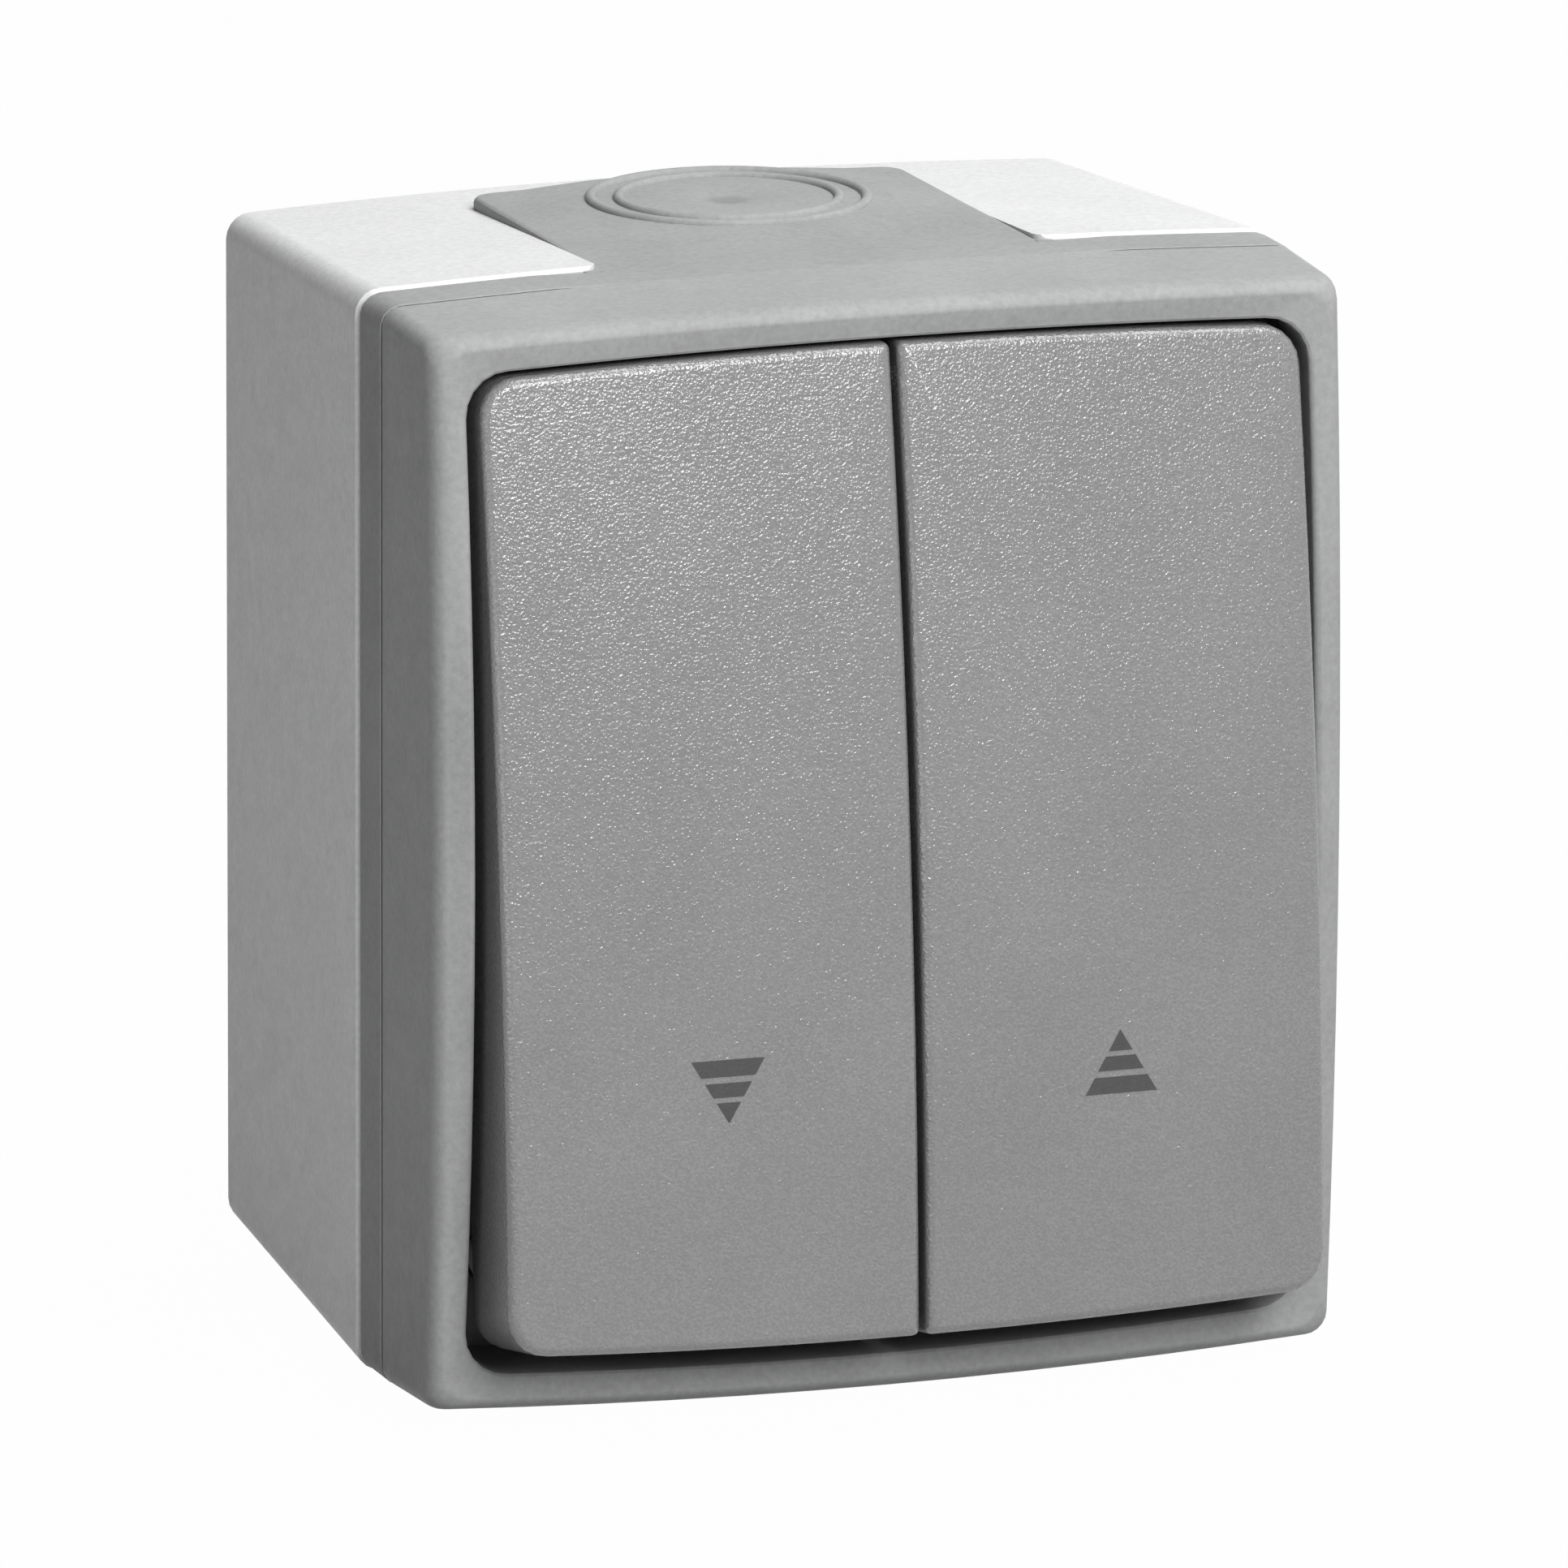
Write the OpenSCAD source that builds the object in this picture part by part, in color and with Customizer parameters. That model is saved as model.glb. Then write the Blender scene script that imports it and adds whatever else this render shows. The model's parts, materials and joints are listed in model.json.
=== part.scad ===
// Surface-mounted roller shutter switch in a splash-proof housing: a moulded box with a soft seal
// and cable membranes, a domed cover frame, and two rocker keys on a screwed-in switch insert.
// Every piece is drawn in wall coordinates: x to the right, y up, z out of the wall.
// on_wall() turns them so that the wall lies behind the switch and z points up.

/* [Box] */
// Width of the box at the wall
box_back_w = 61.3; // [59:0.1:66]
// Height of the box at the wall, measured at its corners
box_back_h = 71; // [69:0.1:76]
// Depth of the box from the wall to the soft band
box_d = 34.8; // [34:0.1:38]
// How much each side wall of the box spreads towards the front
side_flare = 2.1; // [1:0.1:2.6]
// How much the top and the bottom of the box spread towards the front
end_flare = 1.8; // [1:0.1:2.4]
// Rise of the arched top and bottom edges at their middle
edge_crown = 0.78; // [0.4:0.01:1.4]
// Radius of the four long edges of the box
box_edge_r = 1.8; // [1.2:0.1:3]
// Thickness of the box walls
box_wall = 2.2; // [1.8:0.1:2.6]
// Thickness of the back of the box
box_floor = 2.4; // [1.8:0.1:3]

/* [Wall fixing] */
// Distance between the two slots for the wall screws
slot_spacing = 52; // [48:0.5:54]
// Width of a wall slot
slot_w = 4.5; // [3.5:0.1:5]
// Length of a wall slot from end to end
slot_l = 8; // [6:0.1:9]

/* [Seal] */
// Depth of the soft band that shows between box and frame
band_d = 4.65; // [4:0.05:6]
// How far the band lies inside the front edge of the box
band_step = 0.3; // [0.1:0.05:0.5]
// Width of the panel that carries the cable membrane
panel_w = 31.2; // [29:0.1:34]
// Distance of the panel's rear edge from the wall
panel_start = 7.1; // [6:0.1:9]
// How far the panel's rear edge stands above the box; its front is flush with the band
panel_rise = 0.9; // [0.5:0.05:1.2]
// Height of the low dome round the cable membrane
dome_rise = 0.35; // [0:0.05:0.6]
// Radius of the panel's rear corners
panel_corner_r = 1.6; // [1:0.1:3]
// Distance of the cable membrane's centre from the wall
membrane_d = 16.5; // [16:0.1:20]
// Outer radius of the larger ring on the membrane
ring_r = 9.8; // [8:0.1:9.8]
// Outer radius of the smaller ring on the membrane
inner_ring_r = 7.9; // [6:0.1:8.4]
// Thickness of the skin that a cable is pushed through
membrane_t = 0.8; // [0.6:0.1:1.2]

/* [Frame] */
// Depth of the frame at the corners of its opening, from the band to its front
frame_d = 9.65; // [9:0.05:12]
// How far the frame stands out from the band at the seam
frame_step = 0.05; // [0:0.05:0.4]
// Width of the frame on either side of the opening
frame_side = 2.7; // [2.4:0.05:3.2]
// Width of the frame above and below the opening
frame_end = 2.9; // [2.6:0.05:3.4]
// How far the opening's edge bulges forward between top and bottom
frame_bulge_v = 2.3; // [1:0.1:3]
// How far the opening's edge bulges forward between left and right
frame_bulge_h = 0.93; // [0.3:0.01:1.5]
// How far the outer edge bulges forward between top and bottom
edge_bulge_v = 1.6; // [1:0.1:3]
// How far the outer edge bulges forward between left and right
edge_bulge_h = 1.1; // [0.3:0.1:1.5]
// Radius of the opening's corners
opening_r = 3; // [2:0.1:4]
// How far the front rounding reaches across the frame
round_across = 1.1; // [0.8:0.1:1.6]
// How far the front rounding reaches back along the frame's side
round_back = 1.85; // [1.5:0.05:3]

/* [Keys] */
// Gap between the keys and either side of the opening
side_gap = 0.75; // [0.5:0.05:1.2]
// Gap between the keys and the top and bottom of the opening, measured at its corners
end_gap = 1.4; // [1:0.05:2]
// Gap between the two keys
key_gap = 0.45; // [0.3:0.05:0.8]
// Rise of the front of a key between top and bottom
key_bulge_v = 1.33; // [0.5:0.01:2]
// Rise of the front of the keys between left and right
key_bulge_h = 0.6; // [0.2:0.1:1]
// Height of the arch in the top and bottom edges of the keys
key_crown = 0.8; // [0.4:0.05:1]
// Radius of the keys' outer corners
key_r = 2.8; // [2:0.1:3.5]
// Rounding of the edges round a key's front
key_edge_r = 0.7; // [0.4:0.1:1]
// Thickness of a key's front and skirt
key_wall = 1.6; // [1.2:0.1:2]
// Depth of the skirt round a key
key_skirt = 8.2; // [7:0.1:8.4]
// Tilt of a key from its middle position, the lower half standing out
key_tilt = 6; // [4:0.1:6.5]

/* [Mechanism] */
// Height of the keys' front edge above the axis that they tilt about
key_reach = 12.5; // [12:0.1:13]
// Distance of the tilting axis behind the corners of the frame's front
pivot_back = 8.55; // [8:0.05:9]
// Radius of the trunnions on each rocker
trunnion_r = 1.6; // [1.2:0.1:2]
// Clearance all round a trunnion in its bearing
running_fit = 0.05; // [0.02:0.01:0.08]
// Width of the switch insert
insert_w = 43.2; // [42:0.1:44]
// Height of the switch insert
insert_h = 42; // [42:0.1:44]
// Thickness of the steel mounting plate
plate_t = 1.2; // [0.8:0.1:1.6]
// Radius of a detent spring, to the middle of its wire
spring_r = 1.2; // [1:0.05:1.3]
// Thickness of the spring wire
spring_wire = 0.36; // [0.2:0.02:0.4]
// Number of turns in a detent spring
spring_turns = 6; // [4:1:7]
// Tilt of a contact lever from its middle position
lever_tilt = 5; // [3:0.5:6]

/* [Hidden] */
$fn = 40;

// Colours
box_grey = "#cfcfd0";
seal_grey = "#96989a";
frame_grey = "#9b9d9f";
key_grey = "#8f9194";
mould_white = "#e4e2dc";
steel = "#b4b6b8";
brass = "#c9a45a";
silver = "#d8d8d6";

// Small clearances that pieces share
seat_gap = 0.1;
slide_gap = 0.05;
cut = 0.1;

// Segments along the sides, the arched edges and the corners of an outline
side_n = 10;
arch_n = 12;
corner_n = 5;

// Outlines
box_hw = box_back_w / 2;
box_hh = box_back_h / 2;
seam_hw = box_hw + side_flare - band_step;
seam_hh = box_hh + end_flare - band_step;
seam_d = box_d + band_d;
band_wall = 2.8;
band_round = 0.3;
seam_round = 0.1;
frame_hw = seam_hw + frame_step;
frame_hh = seam_hh + frame_step;
frame_front_d = seam_d + frame_d;
side_draft = 0.15;
end_draft = 0.3;
frame_rear_r = 1.3;
frame_front_r = 2;
edge_drop = 0.15;
opening_hw = frame_hw - frame_side;
opening_hh = frame_hh - frame_end;
opening_crown = key_crown;
opening_lip = 0.45;
inner_r = 2.4;
keys_hw = opening_hw - side_gap;
key_hh = opening_hh - end_gap;
pivot_d = frame_front_d - pivot_back;

// Frame flange, screws and posts
flange_top = seam_d + 1.5;
flange_bottom = box_d + 1.5;
flange_in = 6.4;
spigot_in = 3.2;
frame_screw_x = opening_hw - 5.6;
frame_screw_y = opening_hh - 5.95;
post_r = 3.6;
rib_t = 1.6;
frame_tab_r = 4.2;
screw_r = 1.45;
screw_hole_r = screw_r + slide_gap;
head_r = 2.6;
head_h = 1.6;
head_sink = 2;
screw_depth = 22;

// Insert
plate_d = box_d - 1.8;
insert_lip = 0.9;
insert_screw_x = insert_w / 2 + insert_lip + head_r + 1;
plate_w = 2 * (insert_screw_x + head_r + 0.3);
plate_h = insert_h + 2;
insert_back = plate_d - 19;
insert_top = plate_d + plate_t + 1.8;
well_floor = insert_back + 6;
well_x0 = 2.4;
well_x1 = insert_w / 2 - 3;
well_hh = 11.6;
ear_t = 2;
ear_r = 3;
ear_x1 = insert_w / 2 + insert_lip;
ear_x0 = ear_x1 - ear_t;
centre_ear_t = 2.2;

// Rockers, about the tilting axis
rocker_side = 0.7;
rocker_x0 = max(centre_ear_t / 2 + rocker_side, key_gap / 2 + key_wall + rocker_side / 3);
rocker_x1 = ear_x0 - rocker_side;
rocker_hh = 12;
rocker_bottom = -1.8;
rocker_top = 7.5;
stem_x = 10.5;
stem_r = 2.6;
stem_bottom = -9;
detent_bore_r = spring_r + spring_wire / 2 + 0.27;
detent_bore_top = 4;
plunger_r = detent_bore_r - slide_gap;
plunger_tip = -13.2;
plunger_tip_r = 1;
plunger_top = -6;
clip_y = 8.5;
clip_w = 5;
clip_t = 2.6;
clip_bottom = 3.2;
clip_shoulder = 2;
arm_hollow_y = 7;
arm_hollow_w = 7.6;
arm_hollow_h = 5.5;
key_rib_x = 6;
key_rib_t = 1.2;
key_rib_h = 2;
key_rear = key_reach - key_skirt;
key_inside = key_reach - key_wall - 0.2;

// Contacts
lever_d = pivot_d - 14.6;
lever_t = 1.2;
lever_w = 6;
lever_hh = 9.8;
guide_l = 6;
guide_t = 0.6;
guide_h = 1.2;
blade_t = 1;
blade_hl = 16;
tip_y = 8.5;
tip_r = 1.6;
tip_t = 0.8;
tip_shank_r = 0.8;
contact_gap = 0.15;
fixed_tip_d = lever_d - tip_t - tip_y * sin(lever_tilt) - contact_gap;
strip_t = 1.2;
strip_w = 4;
strip_back_t = 1;
leg_y = 10.3;
terminal_w = 7;
terminal_back = insert_back + 1;
terminal_front = terminal_back + 8;
terminal_y0 = 13.5;
terminal_y1 = insert_h / 2 - 1.6;
wire_r = 1.5;
wire_y = terminal_y0 + 2.6;
wire_depth = 6.5;
terminal_screw_d = terminal_back + 3.6;
terminal_head_r = 2.1;
terminal_head_h = 1.4;

// Membrane
panel_hw = panel_w / 2;
panel_seat = 0.9;
panel_round = 0.4;
panel_fillet = 1.1;
panel_tuck = 0.6;
plug_hw = panel_hw - 2.4;
plug_start = panel_start + 2.2;
skin_gap = 0.03;
ring_bead = 0.38;
bead_sink = 0.08;
dome_r0 = ring_r + 0.3;
dome_r1 = panel_hw;
dimple_r = 3;
dimple_depth = 0.3;
panel_slope = (panel_rise + band_step) / (box_d - panel_start);
membrane_tilt = atan(end_flare / box_d - panel_slope);
membrane_y = panel_top(0, membrane_d);

module on_wall() {
    rotate([90, 0, 0]) children();
}

// Places a piece about the tilting axis, in the position with the lower half standing out
module at_pivot() {
    translate([0, 0, pivot_d]) rotate([-key_tilt, 0, 0]) children();
}

// Draws a piece for the right-hand key, or mirrored for the left-hand one
module on_side(left) {
    mirror([left ? 1 : 0, 0, 0]) children();
}

// Height of an arched edge above the middle line
function arch(x, hh, crown, hw) = hh + crown * (1 - pow(x / hw, 2));

function arc(centre, r, from) =
    [for (i = [0:corner_n]) let (a = from + 90 * i / corner_n) [centre[0] + r * cos(a), centre[1] + r * sin(a)]];

function between(a, b, n) = [for (i = [1:n - 1]) a + (b - a) * i / n];

// Outline with straight sides at x0 and x1 and arched top and bottom edges, anticlockwise.
// r0 and r1 are the corner radii on either side, hw the half width that the arch spans.
function outline(x0, x1, hh, crown, hw, r0, r1) =
    let (
        right = [x1 - r1, arch(x1 - r1, hh, crown, hw) - r1],
        left = [x0 + r0, arch(x0 + r0, hh, crown, hw) - r0]
    )
    concat(
        [for (y = between(-right[1], right[1], side_n)) [x1, y]],
        arc(right, r1, 0),
        [for (x = between(right[0], left[0], arch_n)) [x, arch(x, hh, crown, hw)]],
        arc(left, r0, 90),
        [for (y = between(left[1], -left[1], side_n)) [x0, y]],
        arc([left[0], -left[1]], r0, 180),
        [for (x = between(left[0], right[0], arch_n)) [x, -arch(x, hh, crown, hw)]],
        arc([right[0], -right[1]], r1, 270)
    );

// Symmetric outline, drawn in by an even amount all round
function rim(hw, hh, crown, r, inset) =
    outline(inset - hw, hw - inset, hh - inset, crown, hw, max(r - inset, 0.3), max(r - inset, 0.3));

function raised(points, z) = [for (p = points) [p[0], p[1], z]];

// Middle of a ring of points
function middle(ring) = [for (k = [0:2]) let (v = [for (p = ring) p[k]]) v * [for (i = v) 1] / len(v)];

// Skin through a stack of rings with as many points each, drawn upwards and anticlockwise.
// Each end closes as a fan, or the last ring joins the first.
module skin(rings, loop = false) {
    n = len(rings[0]);
    m = len(rings);
    sides = [for (j = [0:loop ? m - 1 : m - 2], i = [0:n - 1], t = [0, 1])
        let (a = j * n + i, b = j * n + (i + 1) % n, k = (j + 1) % m, d = k * n + i, c = k * n + (i + 1) % n)
        t == 0 ? [a, d, c] : [a, c, b]];
    low_fan = [for (i = [0:n - 1]) [i, (i + 1) % n, m * n]];
    high_fan = [for (i = [0:n - 1]) [(m - 1) * n + i, m * n + 1, (m - 1) * n + (i + 1) % n]];
    all_points = [for (ring = rings, p = ring) p];
    if (loop)
        polyhedron(all_points, sides);
    else
        polyhedron(concat(all_points, [middle(rings[0]), middle(rings[m - 1])]), concat(sides, low_fan, high_fan));
}

// Flat ring between two insets of the seam's outline
module seam_ring(from_inset, to_inset, z0, z1) {
    translate([0, 0, z0]) linear_extrude(z1 - z0) difference() {
        polygon(rim(seam_hw, seam_hh, edge_crown, inner_r, from_inset));
        polygon(rim(seam_hw, seam_hh, edge_crown, inner_r, to_inset));
    }
}

// Outside of the box at a depth, grown by an amount, as a ring of points
function box_ring(z, grow) =
    raised(rim(box_hw + side_flare * z / box_d, box_hh + end_flare * z / box_d, edge_crown, box_edge_r, -grow), z);

// Solid within the box's outside, grown or drawn in by an amount
module box_form(grow, z0, z1) {
    skin([box_ring(z0, grow), box_ring(z1, grow)]);
}

// Places children at each of the four frame screws
module at_frame_screws() {
    for (sx = [-1, 1], sy = [-1, 1]) translate([sx * frame_screw_x, sy * frame_screw_y, 0]) children();
}

module at_insert_screws() {
    for (sx = [-1, 1]) translate([sx * insert_screw_x, 0, 0]) children();
}

// Ring of screw holes, head recesses and shanks share this pan-head screw
module pan_screw(seat, end) {
    difference() {
        union() {
            translate([0, 0, end]) cylinder(r = screw_r, h = seat - end + cut);
            translate([0, 0, seat]) cylinder(r = head_r, h = head_h);
        }
        for (a = [0, 90]) rotate([0, 0, a]) translate([-1.5, -0.25, seat + head_h - 0.9]) cube([3, 0.5, 1]);
    }
}

// Opening in the top and bottom walls, closed by the membrane panel
module entry_prism(hw, start, end, r) {
    rotate([-90, 0, 0]) mirror([0, 1, 0]) linear_extrude(box_hh + 10) union() {
        translate([-hw, start + r]) square([2 * hw, end - start - r]);
        translate([-hw + r, start]) square([2 * hw - 2 * r, r + cut]);
        for (s = [-1, 1]) translate([s * (hw - r), start + r]) circle(r);
    }
}

module both_entries() {
    for (s = [0, 1]) mirror([0, s, 0]) children();
}

module back_box() color(box_grey) on_wall() {
    rear_cut = 0.15;
    rim_cut = 0.3;
    difference() {
        union() {
            difference() {
                skin([box_ring(0, -rear_cut), box_ring(rear_cut, 0), box_ring(box_d - rim_cut, 0),
                      box_ring(box_d, -rim_cut)]);
                box_form(-box_wall, box_floor, box_d + cut);
            }
            at_frame_screws() cylinder(r = post_r, h = flange_bottom);
            at_insert_screws() cylinder(r = post_r - 0.4, h = plate_d);
            intersection() {
                box_form(-box_wall / 2, box_floor / 2, plate_d - 2);
                for (s = [0, 1]) mirror([s, 0, 0]) {
                    post_rib(insert_screw_x, 0);
                    for (sy = [-1, 1]) post_rib(frame_screw_x, sy * frame_screw_y);
                }
            }
        }
        at_frame_screws() translate([0, 0, screw_depth]) cylinder(r = screw_hole_r, h = box_d);
        at_insert_screws() translate([0, 0, screw_depth]) cylinder(r = screw_hole_r, h = box_d);
        both_entries() {
            entry_prism(plug_hw, plug_start, box_d + cut, panel_corner_r);
            // Shallow seat that the membrane panel lies in
            difference() {
                panel_prism(skin_gap);
                box_form(-panel_seat, -1, box_d + 2);
            }
        }
        for (sy = [-1, 1]) translate([0, sy * slot_spacing / 2, -cut]) wall_slot();
    }
}

// Rib that ties a post at x and y to the side wall
module post_rib(x, y) {
    translate([x, y - rib_t / 2, 0]) cube([2.2 * post_r, rib_t, plate_d]);
}

// Slot for a wall screw, standing upright
module wall_slot() {
    h = box_floor + 2 * cut;
    half = (slot_l - slot_w) / 2;
    for (s = [-1, 1]) translate([0, s * half, 0]) cylinder(r = slot_w / 2, h = h);
    translate([-slot_w / 2, -half, 0]) cube([slot_w, 2 * half, h]);
}

module seal() color(seal_grey) on_wall() {
    difference() {
        union() {
            skin([band_ring(band_round, box_d + slide_gap), band_ring(0, box_d + slide_gap + band_round),
                  band_ring(0, seam_d - slide_gap - seam_round), band_ring(seam_round, seam_d - slide_gap)]);
            seam_ring(box_wall - band_step + 0.5, band_wall + 1.2, box_d - 2.5, box_d + 1);
            both_entries() membrane_panel();
        }
        seam_ring(band_wall, 2 * seam_hw, flange_bottom - cut, seam_d + cut);
        translate([0, 0, box_d - 3]) linear_extrude(band_d + 4)
            polygon(rim(seam_hw, seam_hh, edge_crown, inner_r, band_wall));
        both_entries() membrane_pocket();
    }
    both_entries() membrane_rings();
}

function band_ring(inset, z) = raised(rim(seam_hw, seam_hh, edge_crown, box_edge_r, inset), z);

// Outline of the membrane panel seen from above, drawn in by an amount: x and minus the depth
function panel_outline(inset) =
    let (
        hw = panel_hw - inset,
        r = max(panel_corner_r - inset, 0.2),
        rear = -(panel_start + inset + r),
        front = -(box_d + panel_tuck)
    )
    concat(
        [for (x = between(-hw, hw, arch_n)) [x, front]],
        [for (y = concat([front], between(front, rear, side_n))) [hw, y]],
        arc([hw - r, rear], r, 0),
        [for (x = between(hw - r, r - hw, arch_n)) [x, rear + r]],
        arc([r - hw, rear], r, 90),
        [for (y = concat(between(rear, front, side_n), [front])) [-hw, y]]
    );

// Fillets where the panel spreads into the band
module panel_fillets(grow) {
    f = panel_fillet;
    rotate([-90, 0, 0]) linear_extrude(box_hh + 10) for (sx = [-1, 1]) difference() {
        translate([sx * (panel_hw + f / 2 + grow / 2 - cut / 2), -(box_d + (panel_tuck - f) / 2)])
            square([f + grow + cut, f + panel_tuck], center = true);
        translate([sx * (panel_hw + f), -(box_d - f)]) circle(f - grow);
    }
}

// Height of the box's top above the middle line, at x and a depth
function box_top(x, d) = arch(x, box_hh + end_flare * d / box_d, edge_crown, box_hw + side_flare * d / box_d);

// Height of the panel's surface: it slopes down to the band, and rises in a low dome round the membrane
function panel_top(x, d) =
    let (
        from_ring = (norm([x, d - membrane_d]) - dome_r0) / (dome_r1 - dome_r0),
        t = min(max(from_ring, 0), 1)
    )
    box_top(x, min(d, box_d)) + panel_rise - panel_slope * (min(d, box_d) - panel_start)
        + dome_rise * (1 - t * t * (3 - 2 * t));

// Prism through the panel's outline, from the middle line outwards
module panel_prism(grow) {
    rotate([-90, 0, 0]) linear_extrude(box_hh + 10) polygon(panel_outline(-grow));
    panel_fillets(grow);
}

// Rings of the panel: up its edge, round it, then in over the surface
function panel_rings() =
    let (
        // The rounding fades out where the panel sinks into its seat
        fade = function (d) min(max((box_d - d) / (box_d - panel_start), 0.1), 1),
        standing = function (points, drop) [for (p = points) [p[0], p[1], panel_top(p[0], -p[1]) - drop * fade(-p[1])]],
        top = panel_outline(panel_round),
        centre = [0, -membrane_d],
        shrunk = function (s) [for (p = top) centre + s * (p - centre)]
    )
    concat(
        [raised(panel_outline(0), box_hh - 4)],
        [for (a = [0:30:90]) standing(panel_outline(panel_round * (1 - cos(a))), panel_round * (1 - sin(a)))],
        [for (s = [0.92, 0.84, 0.76, 0.69, 0.62, 0.55, 0.4, 0.15]) standing(shrunk(s), 0)]
    );

// Panel that lies in its seat on the box, with the plug that fills the opening in the wall
module membrane_panel() {
    difference() {
        union() {
            rotate([-90, 0, 0]) skin(panel_rings());
            intersection() {
                box_form(-band_step, panel_start, box_d + panel_tuck);
                panel_fillets(0);
            }
        }
        box_form(skin_gap - panel_seat, -1, box_d + 2);
    }
    intersection() {
        difference() {
            box_form(cut - panel_seat, panel_start, box_d + 1);
            box_form(-box_wall, 0, box_d + 2);
        }
        entry_prism(plug_hw - seat_gap, plug_start + seat_gap, box_d + 1, panel_corner_r);
    }
}

// Stands children on the membrane, z pointing out of it
module on_membrane() {
    translate([0, membrane_y, membrane_d]) rotate([-90 - membrane_tilt, 0, 0]) children();
}

// Recess behind the skin that a cable is pushed through, and the dimple in its middle
module membrane_pocket() {
    dimple_sphere_r = (pow(dimple_r, 2) + pow(dimple_depth, 2)) / (2 * dimple_depth);
    on_membrane() translate([0, 0, -membrane_t - 6]) cylinder(r = ring_r - 1, h = 6);
    on_membrane() translate([0, 0, dimple_sphere_r - dimple_depth]) sphere(dimple_sphere_r);
}

module membrane_rings() {
    on_membrane() for (r = [ring_r, inner_ring_r]) rotate_extrude($fn = 64)
        translate([r - ring_bead, -bead_sink]) circle(ring_bead, $fn = 16);
}

module front_frame() color(frame_grey) on_wall() {
    difference() {
        union() {
            skin(frame_rings(), loop = true);
            seam_ring(spigot_in, flange_in, flange_bottom + 1, flange_top);
            seam_ring(seam_hw - opening_hw - 0.4, flange_in - 1, seam_d, flange_top);
            intersection() {
                at_frame_screws() translate([0, 0, flange_bottom]) cylinder(r = frame_tab_r, h = flange_top - flange_bottom);
                translate([0, 0, flange_bottom - 1]) linear_extrude(10)
                    polygon(rim(seam_hw, seam_hh, edge_crown, inner_r, spigot_in));
            }
        }
        at_frame_screws() {
            translate([0, 0, flange_bottom - cut]) cylinder(r = screw_hole_r + 0.1, h = 10);
            translate([0, 0, flange_top - head_sink]) cylinder(r = head_r + 0.3, h = 10);
        }
    }
}

// Depth of the frame's front at the opening's edge, and at the outer edge
function opening_front(p) =
    frame_front_d + frame_bulge_v * (1 - pow(p[1] / opening_hh, 2)) + frame_bulge_h * (1 - pow(p[0] / opening_hw, 2));

function edge_front(p) =
    frame_front_d - edge_drop + edge_bulge_v * (1 - pow(p[1] / frame_hh, 2))
        + edge_bulge_h * (1 - pow(p[0] / frame_hw, 2));

// Rings round the frame: up the outside, over the rounded front, down inside the opening
function frame_rings() =
    let (
        outside = function (across, down, r) outline(across - frame_hw, frame_hw - across, frame_hh - down,
                                                     edge_crown, frame_hw, r, r),
        inside = function (grow) rim(opening_hw, opening_hh, opening_crown, opening_r, -grow),
        edge = function (points, back) [for (p = points) [p[0], p[1], edge_front(p) - back]],
        lip = function (points, back) [for (p = points) [p[0], p[1], opening_front(p) - back]]
    )
    concat(
        [raised(outside(seam_round, seam_round, frame_rear_r), seam_d),
         raised(outside(0, 0, frame_rear_r), seam_d + seam_round)],
        [for (a = [0:15:90]) let (in = round_across * (1 - cos(a)))
            edge(outside(side_draft + in, end_draft + in, frame_rear_r + (frame_front_r - frame_rear_r) * a / 90),
                 round_back * (1 - sin(a)))],
        [for (a = [0:30:90]) lip(inside(opening_lip * (1 - sin(a))), opening_lip * (1 - cos(a)))],
        [raised(inside(0.15), flange_top + 0.6), raised(inside(0.15), seam_d)]
    );

// Front of a key above the tilting axis, at a point
function key_front(p) =
    key_reach + key_bulge_v * (1 - pow(p[1] / key_hh, 2)) + key_bulge_h * (1 - pow(p[0] / keys_hw, 2));

function key_outline(inset) =
    outline(key_gap / 2 + inset, keys_hw - inset, key_hh - inset, key_crown, keys_hw,
            max(0.5 - inset, 0.2), max(key_r - inset, 0.3));

// Rings of one key: up the skirt, round the front edge, then in over the domed front
function key_rings() =
    let (
        edge = [for (a = [0:30:90]) [key_edge_r * (1 - cos(a)), key_edge_r * (1 - sin(a))]],
        centre = [(key_gap / 2 + keys_hw) / 2, 0],
        top = key_outline(key_edge_r),
        shrunk = function (s) [for (p = top) centre + s * (p - centre)]
    )
    concat(
        [raised(key_outline(0.2), key_rear)],
        [for (e = edge) [for (p = key_outline(e[0])) [p[0], p[1], key_front(p) - e[1]]]],
        [for (s = [0.8, 0.55, 0.3, 0.12]) [for (p = shrunk(s)) [p[0], p[1], key_front(p)]]]
    );

module key_shape() {
    difference() {
        skin(key_rings());
        translate([0, 0, key_rear - 1]) linear_extrude(key_inside - key_rear + 1) polygon(key_outline(key_wall));
    }
    // Blocks that stand on the rocker, and the clips that plug into it
    for (sy = [-1, 1]) translate([stem_x, sy * clip_y, 0]) {
        translate([-clip_w / 2 - clip_shoulder, -clip_t / 2 - 1, rocker_top])
            cube([clip_w + 2 * clip_shoulder, clip_t + 2, key_inside - rocker_top + cut]);
        translate([-clip_w / 2, -clip_t / 2, clip_bottom]) cube([clip_w, clip_t, rocker_top - clip_bottom + cut]);
    }
    // Stiffening ribs under the front
    for (x = [stem_x - key_rib_x, stem_x + key_rib_x])
        translate([x - key_rib_t / 2, key_wall / 2 - key_hh, key_inside - key_rib_h])
            cube([key_rib_t, 2 * key_hh - key_wall, key_rib_h + cut]);
}

module left_key() color(key_grey) on_wall() at_pivot() on_side(true) key_shape();

module right_key() color(key_grey) on_wall() at_pivot() on_side(false) key_shape();

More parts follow.
